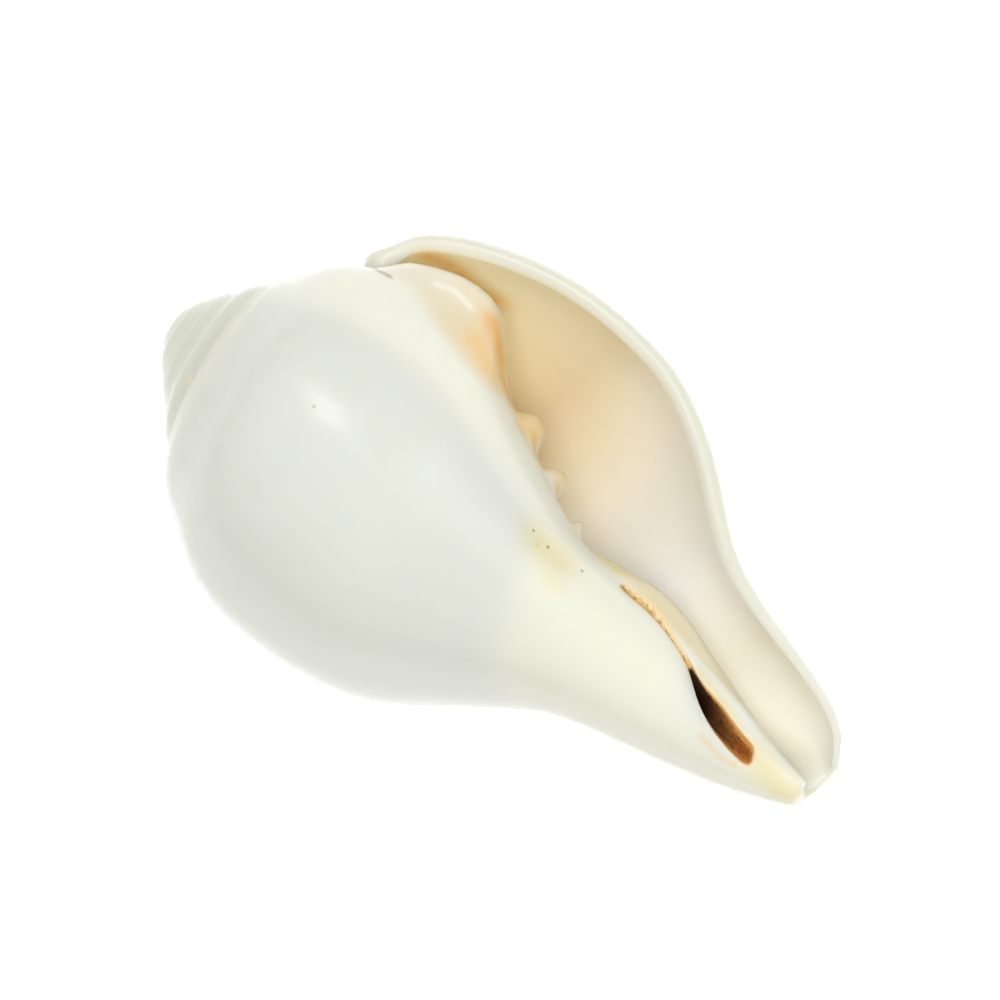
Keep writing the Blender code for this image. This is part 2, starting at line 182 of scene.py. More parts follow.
# The hollow's columns are closer together near the lip.
HOLLOW_COLUMNS = 96
HOLLOW_COLUMNS_SPREAD = 1.25
LIP_SEGMENTS = 8
APEX_RINGS = 5
FOOT_RINGS = 6

# The camera, in the shell's own frame: its slope and side angle, its roll, the point it aims by
# and the shift from it, its distance and the photograph's scale there.
CAMERA_SLOPE = 10.265
CAMERA_SIDE = 8.819
CAMERA_ROLL = 36.094
CAMERA_AIM = (0.0, 0.0, -65.0)
CAMERA_SHIFT = (7.821, 4.154)
CAMERA_DISTANCE = 650.0
PIXELS_PER_MM = 6.2917
PICTURE_PIXELS = 1000
SENSOR = 36.0

# The studio, in metres and watts. A lamp is (name, direction, distance, size, watts, glossy).
FLOOR_HALF_WIDTH = 2.0
FLOOR_GREY = 0.9
FLOOR_ROUGHNESS = 0.8
FLOOR_GLOW = 0.5
WORLD_STRENGTH = 0.14
LAMPS = (
    ("front", (0.05, 0.05, 1.0), 1.3, 0.45, 13.9, False),
    ("key", (0.55, 0.6, 0.75), 1.3, 0.7, 2.0, True),
    ("fill", (-0.45, -0.15, 0.88), 1.3, 0.6, 1.6, False),
    ("window", (-0.365, 0.40, 0.84), 1.3, 0.28, 1.4, True),
)

# Colours, as sRGB. Those inside and under the glaze change with the station.
IVORY = "E4E5D9"
IVORY_SPIRE = "CFD2C2"
RIM = "D3D4C9"
RIM_CANAL = "D8C89A"
INNER_COLOURS = (
    (1.2, "EEDAB0"),
    (3.0, "DDCBAE"),
    (4.5, "F6EEE2"),
    (6.0, "FFFCF6"),
    (7.2, "DEDACE"),
    (8.6, "D4D4CA"),
)
# Inside near the lip: a paler tone, brightened further as painted light against the rim's shade.
INNER_NEAR_LIP_AND_LIGHT = "FAF6EC"
GLAZE_COLOURS = (
    (3.2, "DED8C6"),
    (4.4, "E4D6B2"),
    (5.2, "E4CFA6"),
    (6.6, "E0D2B0"),
    (8.2, "DCD4B6"),
    (9.0, "DEDAC6"),
)
PLAIT_TOP = "F2D4A0"
STAIN_AND_SHADE_COLOURS = {
    "lemon": "E2D4A0",
    "gold": "E4C080",
    "amber": "E2B062",
    "peach": "E6C8A0",
    "pale": "F2F0E8",
    # The crease where the lip's end meets the body: partly its greenish-brown tint, partly painted
    # shade.
    "crease_tint_and_shade": "8C8466",
}

# Where the colours change. A fade is (where its share is 0, where it is 1), in turns, in stations
# or, across the wall, from 0 outside to 1 inside.
SPIRE_TURNS_FADE = (-0.93, -1.0)
SPIRE_STATIONS_FADE = (SUTURE_STATION, 2.6)
NEAR_SPIRE_SHARE = 0.55
NEAR_SPIRE_STATIONS = (2.8, 0.6)
NEAR_SPIRE_TURNS = (-0.2, -0.45)
# The inside near the lip is made paler: partly its own tone, partly painted light.
NEAR_LIP_SHARES = (0.4, 0.8)
NEAR_LIP_TURNS = (-0.13, -0.02)
NEAR_LIP_BRIGHTENS = (2.8, 4.8)
NEAR_LIP_ENDS = (7.0, 5.5)
INSIDE_FADE = (0.86, 1.0)
RIM_OUTER_FADE = (0.0, 0.2)
RIM_INNER_FADE = (1.0, 0.8)
RIM_CANAL_SHARE = 0.6
RIM_CANAL_STATIONS = (8.2, 8.7)
RIM_CANAL_ACROSS = (0.3, 0.22)

# Where the glaze of the inner lip begins, in turns before the outer lip, at stations, over what it
# fades in, and where the glaze on the plaits does. It ends deep inside, at a turn.
GLAZE_STATIONS = (3.0, 3.2, 3.5, 3.8, 4.4, 4.75, 5.2, 6.4, 6.9, 7.3, 9.0)
GLAZE_EDGE = (0.925, 0.915, 0.905, 0.885, 0.885, 0.915, 0.955, 0.965, 0.93, 0.91, 0.85)
GLAZE_FADE = (-0.006, 0.022)
PLAIT_GLAZE_FADE = (-0.03, -0.005)
GLAZE_ENDS = -1.9

# Faint clouds and growth lines over everything: sizes in metres, repeats along turn and station.
CLOUD_LIGHT = "FFFFFF"
CLOUD_DARK = "FFFDF8"
CLOUD_SIZE = 0.03
LINES_DARK = "F7F7F2"
LINES_SHARE = 0.4
LINES_DETAIL = 4.0
LINES_REPEATS = (90.0, 0.5)

# The slot's stain: how far it reaches towards the inner lip and away from it, in slit half widths,
# from which station, how ragged its edge is, and the values of the stain at which its edge and its
# inside begin. Far from the slit, and inside, the place across it has one value.
SLOT_STAIN_WIDTHS = (1.65, 1.1)
SLOT_STAIN_FROM = 7.77
SLOT_RAGGED = 1.6
SLOT_RAGGED_LEAST = 0.2
SLOT_EDGE_FADE = (0.03, 0.25)
SLOT_INSIDE_FADE = (0.3, 0.5)
NO_SLIT = 9.0

# The fibres in the slot: their repeats across the slit and along the stations, the values of the noise
# between which they go from dark to light, and the stations at which they come out of the slot's dark
# brown and painted shade.
FIBRE_REPEATS = (5.0, 26.0)
FIBRE_DETAIL = 5.0
FIBRE_ROUGHNESS = 0.7
FIBRE_FADE = (0.28, 0.56)
SLOT_EDGE = "C08A40"
# The slot's dark: its dark brown, made near black as painted shade of its depth.
SLOT_BROWN_AND_SHADE = "2A150A"
SLOT_FIBRE = "94602F"
SLOT_FIBRE_STATIONS = (8.04, 8.3)
SLOT_BOTTOM = "C88A48"
SLOT_BOTTOM_STATIONS = (8.2, 8.42)

# Pale flecks on the fibres: above these noise values, about a station, and on one side.
FLECK_FADE = (0.66, 0.72)
FLECK_STATION = 8.22
FLECK_REACH = 0.16
FLECK_SIDE_FADE = (-0.2, 0.5)

# The crack above the slot, with widths in slit half widths.
CRACK = "BC8838"
CRACK_HALF_WIDTH = 0.4
CRACK_MARGIN = "E8CE90"
CRACK_MARGIN_HALF_WIDTH = 1.1
CRACK_RAGGED = 1.3
CRACK_STARTS = (7.2, 7.24)
CRACK_ENDS = (8.0, 7.9)

# The polish and how much it varies over what size, the light that goes into the shell, and its
# low waves, growth lines and fibres.
ROUGHNESS = 0.2
ROUGHNESS_VARIES = 0.06
ROUGHNESS_PATCHES = 0.02
SLOT_ROUGHER = 0.5
SUBSURFACE_WEIGHT = 0.8
SUBSURFACE_RADIUS = (1.0, 0.9, 0.75)
SUBSURFACE_SCALE = 0.008
WAVES_SIZE = 0.015
LINES_HEIGHT = 0.15
FIBRES_HEIGHT = 4.0
BUMP_STRENGTH = 0.08
BUMP_DISTANCE = 0.001

# Stains by colour, and the crease's tint with its painted shade: (0 outside or 1 inside, width in
# millimetres, share, path of (turn, station)).
STAINS_AND_SHADE = {
    "lemon": (
        (0, 3.4, 0.6, ((-0.795, 5.85), (-0.80, 6.3))),
        (0, 1.8, 0.35, ((-0.757, 6.25), (-0.757, 6.4))),
        (0, 1.5, 0.9, ((-0.94, 6.95), (-0.93, 7.12))),
        (0, 2.6, 0.6, ((-0.70, 8.5), (-0.64, 8.75), (-0.6, 8.9))),
        (0, 1.3, 0.6, ((-0.83, 7.95), (-0.79, 8.15), (-0.73, 8.35), (-0.66, 8.5))),
    ),
    "gold": (
        (0, 2.8, 0.8, ((-0.916, 4.1), (-0.912, 4.3))),
        (1, 2.3, 1.0, ((-0.012, 0.95), (-0.022, 1.2), (-0.03, 1.35), (-0.04, 1.5), (-0.05, 1.7))),
        (0, 1.0, 0.8, ((-0.945, 4.55), (-0.95, 4.72), (-0.957, 4.85))),
        (0, 1.3, 0.9, ((-0.955, 5.16), (-0.945, 5.3), (-0.957, 5.42))),
        (0, 1.1, 0.8, ((-0.955, 5.72), (-0.945, 5.85), (-0.96, 6.0))),
    ),
    "amber": (
        (0, 2.7, 1.0, ((-0.944, 4.06), (-0.944, 4.2), (-0.945, 4.34))),
        (0, 1.8, 0.9, ((-0.945, 4.25), (-0.938, 4.5), (-0.94, 4.68))),
    ),
    "peach": ((0, 0.6, 0.45, ((-0.655, 8.06), (-0.621, 8.24), (-0.616, 8.38))),),
    "pale": ((0, 0.8, 0.7, ((-0.935, 3.55), (-0.938, 3.69), (-0.934, 3.85))),),
    # The crease's stroke paints shade in the corner as well as its tint.
    "crease_tint_and_shade": ((0, 0.45, 0.85, ((-0.94, 3.02), (-0.925, 3.131), (-0.916, 3.236))),),
}

# About how many millimetres one turn, one station and the way across the wall count for.
PLACE_SCALES = (200.0, 12.0, 100.0)

# Small spots outside: ((turn, station), radius in millimetres, colour), and the part of the radius
# that is in full colour.
SPOTS = (
    ((-0.799, 5.734), 0.38, "A89448"),
    ((-0.801, 5.990), 0.45, "A88838"),
    ((-0.785, 5.835), 0.7, "DCD090"),
    ((-0.825, 6.739), 0.45, "C0A050"),
    ((-0.738, 3.343), 0.5, "D8B888"),
    ((-0.677, 3.303), 1.9, "E2E0D3"),
    ((-0.659, 3.258), 1.5, "E1DED0"),
    ((-0.668, 3.15), 1.2, "E3E1D5"),
    ((-0.695, 1.517), 1.4, "E1DECC"),
    ((-1.669, 2.557), 1.0, "DDD6A8"),
)
SPOT_CORE = 0.1


def smooth(x):
    """Goes from 0 to 1 with level ends."""
    x = np.clip(x, 0.0, 1.0)
    return x * x * (3.0 - 2.0 * x)


def through(t, places, values):
    """A smooth curve through values at places, level outside them."""
    places = np.array(places)
    values = np.array(values)
    slope = np.gradient(values, places)
    slope[0] = slope[-1] = 0.0
    t = np.clip(t, places[0], places[-1])
    k = np.clip(np.searchsorted(places, t, side="right") - 1, 0, len(places) - 2)
    width = places[k + 1] - places[k]
    b = (t - places[k]) / width
    a = 1.0 - b
    ends = values[k] * (1.0 + 2.0 * b) * a**2 + values[k + 1] * (1.0 + 2.0 * a) * b**2
    return ends + width * a * b * (slope[k] * a - slope[k + 1] * b)


def station_weights(t):
    """How much each of the ten stations counts at t, for a natural cubic curve through them."""
    n = len(STATIONS) + 1
    left = np.eye(n)
    right = np.zeros((n, n))
    for i in range(1, n - 1):
        left[i, i - 1 : i + 2] = 1.0, 4.0, 1.0
        right[i, i - 1 : i + 2] = 6.0, -12.0, 6.0
    bend = np.linalg.solve(left, right)
    t = np.asarray(t, float)
    k = np.clip(np.floor(t).astype(int), 0, n - 2)
    b = (t - k)[..., None]
    a = 1.0 - b
    unit = np.eye(n)
    return a * unit[k] + b * unit[k + 1] + ((a**3 - a) * bend[k] + (b**3 - b) * bend[k + 1]) / 6.0


def station_points():
    """The stations as two arrays: at the lip, and one turn before it."""
    lip = np.array([(0.0, 0.0)] + [pair[0] for pair in STATIONS.values()])
    back = np.array([SUTURE_BACK] + [pair[1] for pair in STATIONS.values()])
    lip[0] = station_weights(SUTURE_STATION) @ back
    return lip, back


def grown(turn):
    """Each station's radius and distance below the apex at a turn. The canal's stations grow at
    their own rates. The upper ones settle, two turns back, at one rate for the whole spire."""
    lip, back = station_points()
    own = np.log(lip / back)
    spire = np.log((RADIUS_PER_TURN, HEIGHT_PER_TURN))
    turn = np.asarray(turn, float)[..., None, None]
    settling = 2.0 / 3.0 * (1.0 - np.clip(1.0 + turn / 2.0, 0.0, None) ** 3)
    settling_back = 2.0 / 3.0 * (1.0 - 0.5**3)
    upper = spire * turn - (own - spire) * settling / settling_back
    share = np.array(SPIRE_SHARE)[:, None]
    return lip * np.exp(share * upper + (1.0 - share) * own * turn)


def whorl(turn, t):
    """The smooth surface at (turn, station): x, y and z in the shell's own frame, apex up."""
    turn, t = np.broadcast_arrays(np.asarray(turn, float), np.asarray(t, float))
    radius_and_drop = np.einsum("...s,...sk->...k", station_weights(t), grown(turn))
    angle = 2.0 * np.pi * turn
    radius = radius_and_drop[..., 0]
    return np.stack([radius * np.cos(angle), -radius * np.sin(angle), -radius_and_drop[..., 1]], -1)


def outward(turn, t):
    """The unit normal of the smooth surface."""
    step = 1e-4
    along = whorl(turn + step, t) - whorl(turn - step, t)
    down = whorl(turn, np.minimum(t + step, LAST_STATION)) - whorl(turn, np.maximum(t - step, 0.0))
    normal = np.cross(along, down)
    return normal / np.linalg.norm(normal, axis=-1, keepdims=True)


def ridges(t, shapes, roundness):
    """The height of ridges along the stations: (station, height, half width behind, in front)."""
    height = 0.0
    for station, full, behind, before in shapes:
        width = np.where(t < station, behind, before)
        height = height + full * np.exp(-(np.abs((t - station) / width) ** roundness))
    return height


def inner_relief(turn, t):
    """The plaits and the callus. They rise at the inner lip, and get lower and sink deep inside."""
    plait_rise = smooth((PLAITS_START - turn) / (PLAITS_START - PLAITS_FULL))
    callus_rise = smooth((CALLUS_START - turn) / (CALLUS_START - CALLUS_FULL))
    foot, top = CALLUS_FOOT
    callus = ridges(t, CALLUS_RIDGE, CALLUS_ROUNDNESS) * smooth((t - foot) / (top - foot))
    deep = smooth((turn - RELIEF_ENDS) / (RELIEF_SINKS_FROM - RELIEF_ENDS))
    size = RADIUS_PER_TURN ** (turn + 1.0)
    return (ridges(t, PLAITS, PLAIT_ROUNDNESS) * plait_rise + callus * callus_rise) * deep * size


def nose(turn, t):
    """The nose of the outer lip."""
    height = NOSE_HEIGHT * np.exp(-(((t - NOSE_STATION) / NOSE_HALF_WIDTH) ** 2))
    return height * smooth(1.0 + turn / NOSE_TURNS)


def welt(turn, t):
    """The welt and groove along the suture, smaller in the earlier whorls."""
    size = RADIUS_PER_TURN ** (turn + 1.0) * smooth(-turn / WELT_LIP_TURNS)
    return ridges(t, WELT, WELT_ROUNDNESS) * size * smooth(t / WELT[0][0])


def inner_lip(turn, t):
    """The inner lip's raised edge along the canal."""
    height = through(t, INNER_LIP_STATIONS, INNER_LIP_HEIGHTS)
    return height * np.exp(-(((turn - INNER_LIP_TURN) / INNER_LIP_HALF_WIDTH) ** 2))


def taper(turn, t):
    """How much of its radius the inner wall loses towards the end of the canal."""
    share = through(t, TAPER_STATIONS, TAPER_SHARES)
    return share * smooth((TAPER_START - turn) / (TAPER_START - TAPER_FULL))


def slit_turn(t):
    """Where the slit runs."""
    return through(t, SLIT_STATIONS, SLIT_ANGLES) / 360.0 - 1.0


def slot_widening(t):
    """The slot's width as a share of its full width: narrow at its upper end."""
    widening = smooth((t - SLOT_WIDENS[0]) / (SLOT_WIDENS[1] - SLOT_WIDENS[0]))
    return CRACK_WIDTH_SHARE + (1.0 - CRACK_WIDTH_SHARE) * widening


def slit(turn, t):
    """How deep the slit is, and the slot that it opens into."""
    first, full, last, end = SLOT_STATIONS
    slot = smooth((t - first) / (full - first)) * smooth((end - t) / (end - last))
    line = smooth((t - SLIT_STATIONS[0]) / SLIT_STARTS_OVER) * smooth((end - t) / (end - last))
    across = (turn - slit_turn(t)) / (SLIT_HALF_ANGLE / 360.0)
    width = (SLIT_WIDTH + (SLOT_WIDTH - SLIT_WIDTH) * slot) * slot_widening(t)
    depth = SLIT_DEPTH * line + (SLOT_DEPTH - SLIT_DEPTH) * slot
    return depth * np.exp(-((across / width) ** SLIT_STEEPNESS))


def skin(turn, t):
    """The shell's own surface: the smooth one with its callus, plaits, inner lip, slit and nose."""
    relief = inner_relief(turn, t) + inner_lip(turn, t) + nose(turn, t) + welt(turn, t) - slit(turn, t)
    surface = whorl(turn, t) + relief[..., None] * outward(turn, t)
    surface[..., :2] *= 1.0 - taper(turn, t)[..., None]
    return surface


def spire_skin(turn, share):
    """A spire whorl from its suture (share 0) to where the next whorl covers it (share 1)."""
    t = SUTURE_STATION * share
    start = whorl(turn, 0.0)
    end = whorl(turn + 1.0, 0.0)
    gap = end - whorl(turn, SUTURE_STATION)
    swollen = whorl(turn, t) + (share**2)[..., None] * gap
    level = start + share[..., None] * (end - start)
    worn = swollen + SPIRE_WORN * (level - swollen)
    middle, height, width = SPIRE_BAND
    last_whorl = smooth((turn - SPIRE_BAND_FADES[0]) / (SPIRE_BAND_FADES[1] - SPIRE_BAND_FADES[0]))
    band = height * np.exp(-(((share - middle) / width) ** 2)) * last_whorl
    near_body = smooth((turn - SPIRE_LINES_FADE[0]) / (SPIRE_LINES_FADE[1] - SPIRE_LINES_FADE[0]))
    lines = welt(turn, t) * (SPIRE_LINES_LEFT + (1.0 - SPIRE_LINES_LEFT) * near_body)
    return worn + (band + lines)[..., None] * outward(turn, t)


def hollow_turns(t):
    """How many turns the hollow goes in at a station: far in the body, and less in the canal."""
    narrowing = smooth((t - HOLLOW_NARROWS_FROM) / (LAST_STATION - HOLLOW_NARROWS_FROM))
    return HOLLOW_TURNS_BODY + (HOLLOW_TURNS_CANAL - HOLLOW_TURNS_BODY) * narrowing


def floor_stations(t, first, depth):
    """The stations of the hollow's floor. Its corner leaves the suture as the hollow goes in."""
    settled = smooth(depth / HOLLOW_SETTLED_DEPTH)
    return t + HOLLOW_FLOOR_RISE * settled * np.clip(1.0 - (t - first), 0.0, 1.0)


def hollow_wall(turn, t, corner, floor, depth):
    """The inner side of the last turn. It starts at the corner under the suture, and in the
    canal it runs down to the floor, which is the inner wall, as the hollow ends (depth 1)."""
    change, end = WALL_CHANGES
    thickness = WALL_BODY + (WALL_CANAL - WALL_BODY) * smooth((t - change) / (end - change))
    thickness = thickness * (WALL_THIN_SHARE + (1.0 - WALL_THIN_SHARE) * smooth(t / WALL_THIN_TO))
    offset = whorl(turn, t) - (thickness * WALL_PER_TURN**turn)[..., None] * outward(turn, t)
    settled = smooth(depth / HOLLOW_SETTLED_DEPTH)
    roof_end = HOLLOW_ROOF_AT_LIP + (HOLLOW_ROOF_DEEP - HOLLOW_ROOF_AT_LIP) * settled
    roof = smooth(t / roof_end)[..., None]
    surface = corner * (1.0 - roof) + offset * roof
    closing = smooth((t - HOLLOW_NARROWS_FROM) / (HOLLOW_CLOSED_FROM - HOLLOW_NARROWS_FROM))
    meets_from = HOLLOW_MEETS_FROM_DEPTH
    meeting = (closing * smooth((depth - meets_from) / (1.0 - meets_from)))[..., None]
    return surface * (1.0 - meeting) + floor * meeting


class Mesh:
    """Points, their places (turn, station, inside) and faces of the shell while it is being made.
    Inside is 0 on the outer surface and its continuation into the shell, 1 inside the last turn."""

    def __init__(self):
        self.points = []
        self.places = []
        self.faces = []

    def add(self, points, turn, station, inside):
        """Adds points with their places, and gives their numbers in the same layout."""
        points = np.asarray(points)
        layout = points.shape[:-1]
        first = len(self.points)
        self.points.extend(points.reshape(-1, 3))
        place = [np.broadcast_to(value, layout).ravel() for value in (turn, station, inside)]
        self.places.extend(np.array(place).T)
        return first + np.arange(len(self.points) - first).reshape(layout)

    def face(self, *corners):
        """Adds a face, without the corners that repeat."""
        kept = [int(c) for i, c in enumerate(corners) if c not in corners[:i]]
        if len(kept) > 2:
            self.faces.append(kept)

    def grid(self, numbers):
        """Faces over a grid of point numbers."""
        rows, columns = numbers.shape
        for i in range(rows - 1):
            for j in range(columns - 1):
                self.face(numbers[i, j], numbers[i + 1, j], numbers[i + 1, j + 1], numbers[i, j + 1])

    def zip(self, one, other, one_places, other_places):
        """Faces between two chains of point numbers, each point next to the one at its place."""
        i = j = 0
        while i < len(one) - 1 or j < len(other) - 1:
            if j == len(other) - 1:
                ahead = True
            else:
                ahead = i < len(one) - 1 and one_places[i + 1] <= other_places[j + 1]
            if ahead:
                self.face(one[i], one[i + 1], other[j])
                i += 1
            else:
                self.face(one[i], other[j + 1], other[j])
                j += 1

    def dome(self, loop, rise, rings):
        """A rounded cap over a closed loop of point numbers, round the shell's axis."""
        edge = np.array([self.points[i] for i in loop])
        place = np.array([self.places[i] for i in loop]).T
        centre = np.array((0.0, 0.0, edge[:, 2].mean()))
        inner = np.array(loop)
        for angle in np.linspace(0.0, np.pi / 2.0, rings + 1)[1:-1]:
            outer = inner
            lifted = centre + (edge - centre) * np.cos(angle) + (0.0, 0.0, rise * np.sin(angle))
            inner = self.add(lifted, *place)
            self.grid(np.vstack([np.append(outer, outer[0]), np.append(inner, inner[0])]))
        middle = self.add([centre + (0.0, 0.0, rise)], *place.mean(axis=1))[0]
        for a, b in zip(inner, np.roll(inner, -1)):
            self.face(a, b, middle)

    def compact(self):
        """The points that faces use, their places, and the faces numbered to match."""
        used = sorted({corner for face in self.faces for corner in face})
        number = {old: new for new, old in enumerate(used)}
        faces = [[number[c] for c in face] for face in self.faces]
        return np.array(self.points)[used], np.array(self.places)[used], faces


def rows():
    """The stations of the rows, from the suture to the end of the canal."""
    lip_foot = SUTURE_STATION + LIP_FOOT * np.arange(1, LIP_SEGMENTS + 1) / LIP_SEGMENTS
    return np.concatenate([ROWS_SPIRE, lip_foot, ROWS_SIDE, ROWS_NECK, ROWS_SLOT, ROWS_TIP])


def columns(t):
    """The turns of one whorl's columns, at each row's station."""
    round_shell = np.linspace(COLUMNS_FRONT[-1], 360.0, COLUMNS_ROUND + 1)[1:]
    straight = np.concatenate([COLUMNS_FRONT, round_shell])
    follow = smooth((t - COLUMNS_FOLLOW_FROM[0]) / (COLUMNS_FOLLOW_FROM[1] - COLUMNS_FOLLOW_FROM[0]))
    turns = []
    for station, share in zip(t, follow):
        slit_angle = (slit_turn(station) + 1.0) * 360.0
        places = slit_angle + SLIT_HALF_ANGLE * np.arange(-2, 3)
        ends = (COLUMNS_STAY_FROM, 360)
        moved = np.interp(straight, (0, *COLUMNS_SLIT, *ends), (0, *places, *ends))
        turns.append((straight + share * (moved - straight)) / 360.0 - 1.0)
    return np.array(turns).T


def add_spire(mesh, body, turn, t):
    """The whorls before the last one, up to a blunt apex."""
    last = len(ROWS_SPIRE) - 1
    share = t[: last + 1] / SUTURE_STATION
    ring = body
    for k in range(1, SPIRE_TURNS + 1):
        later = ring
        whorl_turn = turn[:, : last + 1] - k
        ring = mesh.add(spire_skin(whorl_turn, share[None, :]), whorl_turn, t[: last + 1], 0.0)
        ring[-1, :] = later[0, : last + 1]
        ring[:, -1] = later[:, 0]
        mesh.grid(ring)
    top = list(ring[::-1, 0]) + list(ring[0, 1:-1])
    mesh.dome(top, APEX_RISE, APEX_RINGS)


def rounded(outer, inner, direction):
    """Rows of points between two edges, in a rounded strip that bulges in a direction."""
    share = (np.arange(1, LIP_SEGMENTS) / LIP_SEGMENTS)[:, None, None]
    width = np.linalg.norm(inner - outer, axis=-1, keepdims=True).clip(max=WALL_BODY)
    middle = outer + (inner - outer) * smooth(share)
    return middle + LIP_BULGE_SHARE * width * np.sin(np.pi * share) * direction


def unit(vectors):
    """The vectors at length 1."""
    return vectors / np.linalg.norm(vectors, axis=-1, keepdims=True)


def shell_mesh():
    """The whole closed surface, as points, their places and faces."""
    t = rows()
    turn = columns(t)
    suture_row = len(ROWS_SPIRE) - 1
    corner_row = suture_row + LIP_SEGMENTS
    across_lip = (np.arange(1, LIP_SEGMENTS) / LIP_SEGMENTS)[:, None]
    mesh = Mesh()

    body = mesh.add(skin(turn, t[None, :]), turn, t[None, :], 0.0)
    body[-1, 0] = body[0, suture_row]
    mesh.grid(body)
    add_spire(mesh, body, turn, t)

    depth = (np.linspace(1.0, 0.0, HOLLOW_COLUMNS + 1) ** HOLLOW_COLUMNS_SPREAD)[:, None]
    inward = -hollow_turns(t)[None, :] * depth
    floor = skin(inward - 1.0, floor_stations(t[None, :], t[corner_row], depth))
    corner = floor[:, corner_row : corner_row + 1]
    inner = mesh.add(floor[:, corner_row:], inward[:, corner_row:] - 1.0, t[corner_row:], 0.0)
    inner[-1, :] = body[0, corner_row:]
    mesh.grid(inner)
    wall_points = hollow_wall(inward, t[None, :], corner, floor, depth)
    wall = mesh.add(wall_points, inward, t, 1.0)
    wall[:, 0] = inner[:, 0]
    closed = t[corner_row:] >= HOLLOW_CLOSED_FROM
    wall[0, corner_row:][closed] = inner[0][closed]
    mesh.grid(wall)

    for j in range(1, corner_row):
        mesh.face(wall[0, 0], wall[0, j], wall[0, j + 1])
    mesh.grid(np.vstack([wall[0, corner_row:], inner[0]]))

    step = 1e-3
    growth = unit(whorl(0.0, t) - whorl(-step, t))
    strip = mesh.add(rounded(skin(0.0, t), wall_points[-1], growth), 0.0, t, across_lip)
    lip = np.vstack([body[-1], strip, wall[-1]])
    lip[:, 0] = body[0, suture_row : corner_row + 1]
    mesh.grid(lip)

    end = LAST_STATION
    down = unit(whorl(inward[:, -1], end) - whorl(inward[:, -1], end - step))
    end_turns = inward[:, -1]
    strip_points = rounded(skin(end_turns, end), wall_points[:, -1], down)
    strip = mesh.add(strip_points, end_turns, end, across_lip)
    rim = np.vstack([strip, wall[:, -1]])
    rim[:, -1] = lip[1:, -1]
    mesh.grid(rim)
    first = int(np.abs(turn[:, -1] - inward[0, -1]).argmin())
    mesh.zip(body[first:, -1], rim[0], turn[first:, -1], inward[:, -1])
    foot = list(body[: first + 1, -1]) + list(rim[:, 0]) + list(inner[1:-1, -1])
    mesh.dome(foot, -FOOT_DROP, FOOT_RINGS)
    return mesh.compact()


def turned(points):
    """Points or directions of the shell's own frame, turned to lie."""
    return np.asarray(points) @ np.array(Euler(np.radians(REST_TURN).tolist()).to_matrix()).T


def lying(points):
    """Points of the shell's own frame, turned and moved to where the shell lies."""
    return turned(points) - LYING_OFFSET


class Nodes:
    """Short ways to add nodes to a material, each giving its output socket."""

    def __init__(self, material):
        self.tree = material.node_tree
        self.place = self.add("ShaderNodeTexCoord", {}, "Object")

    def fill(self, socket, value):
        if isinstance(value, bpy.types.NodeSocket):
            self.tree.links.new(value, socket)
        else:
            socket.default_value = value

    def add(self, kind, inputs, output=0, **settings):
        node = self.tree.nodes.new(kind)
        for name, value in settings.items():
            setattr(node, name, value)
        for name, value in inputs.items():
            self.fill(node.inputs[name], value)
        return node.outputs[output]

    def attribute(self, name):
        return self.add("ShaderNodeAttribute", {}, "Fac", attribute_name=name)

    def math(self, operation, a, b=0.0):
        return self.add("ShaderNodeMath", {0: a, 1: b}, operation=operation)

    def times(self, a, b):
        return self.math("MULTIPLY", a, b)

    def plus(self, a, b):
        return self.math("ADD", a, b)

    def rise(self, value, low, high):
        """Goes smoothly from 0 where value is low to 1 where it is high."""
        inputs = {"Value": value, "From Min": low, "From Max": high}
        return self.add("ShaderNodeMapRange", inputs, interpolation_type="SMOOTHSTEP")

    def band(self, value, middle, half_width):
        """1 at the middle, and 0 a half width away and further."""
        away = self.math("ABSOLUTE", self.math("SUBTRACT", value, middle))
        return self.rise(away, half_width, 0.0)

    def stretched(self, across, along, through):
        """A place in a space that squeezes noise by other amounts along three values."""
        return self.add("ShaderNodeCombineXYZ", {"X": across, "Y": along, "Z": through})

    def noise(self, size, detail=3.0, place=None, roughness=0.5):
        """Noise from about 0 to 1 with features of a size, in metres on the shell itself."""
        inputs = {
            "Vector": place or self.place,
            "Scale": 1.0 / size,
            "Detail": detail,
            "Roughness": roughness,
        }
        return self.add("ShaderNodeTexNoise", inputs, "Fac")

    def spot(self, centre, radius):
        """1 at a point of the shell and 0 a radius away, both in millimetres."""
        inputs = {0: self.place, 1: tuple(float(c) * MM for c in centre)}
        away = self.add("ShaderNodeVectorMath", inputs, "Value", operation="DISTANCE")
        return self.rise(away, radius * MM, radius * MM * SPOT_CORE)

    def mix(self, share, one, other, blend_type="MIX"):
        """A colour between two others."""
        node = self.tree.nodes.new("ShaderNodeMix")
        node.data_type = "RGBA"
        node.blend_type = blend_type
        by_name = {socket.name: socket for socket in node.inputs if socket.enabled}
        for name, value in (("Factor", share), ("A", one), ("B", other)):
            self.fill(by_name[name], colour(value) if isinstance(value, str) else value)
        return next(socket for socket in node.outputs if socket.enabled)


def colour(code):
    """A linear colour from a hexadecimal sRGB one."""
    parts = [int(code[i : i + 2], 16) / 255.0 for i in (0, 2, 4)]
    return (*[p / 12.92 if p < 0.04045 else ((p + 0.055) / 1.055) ** 2.4 for p in parts], 1.0)


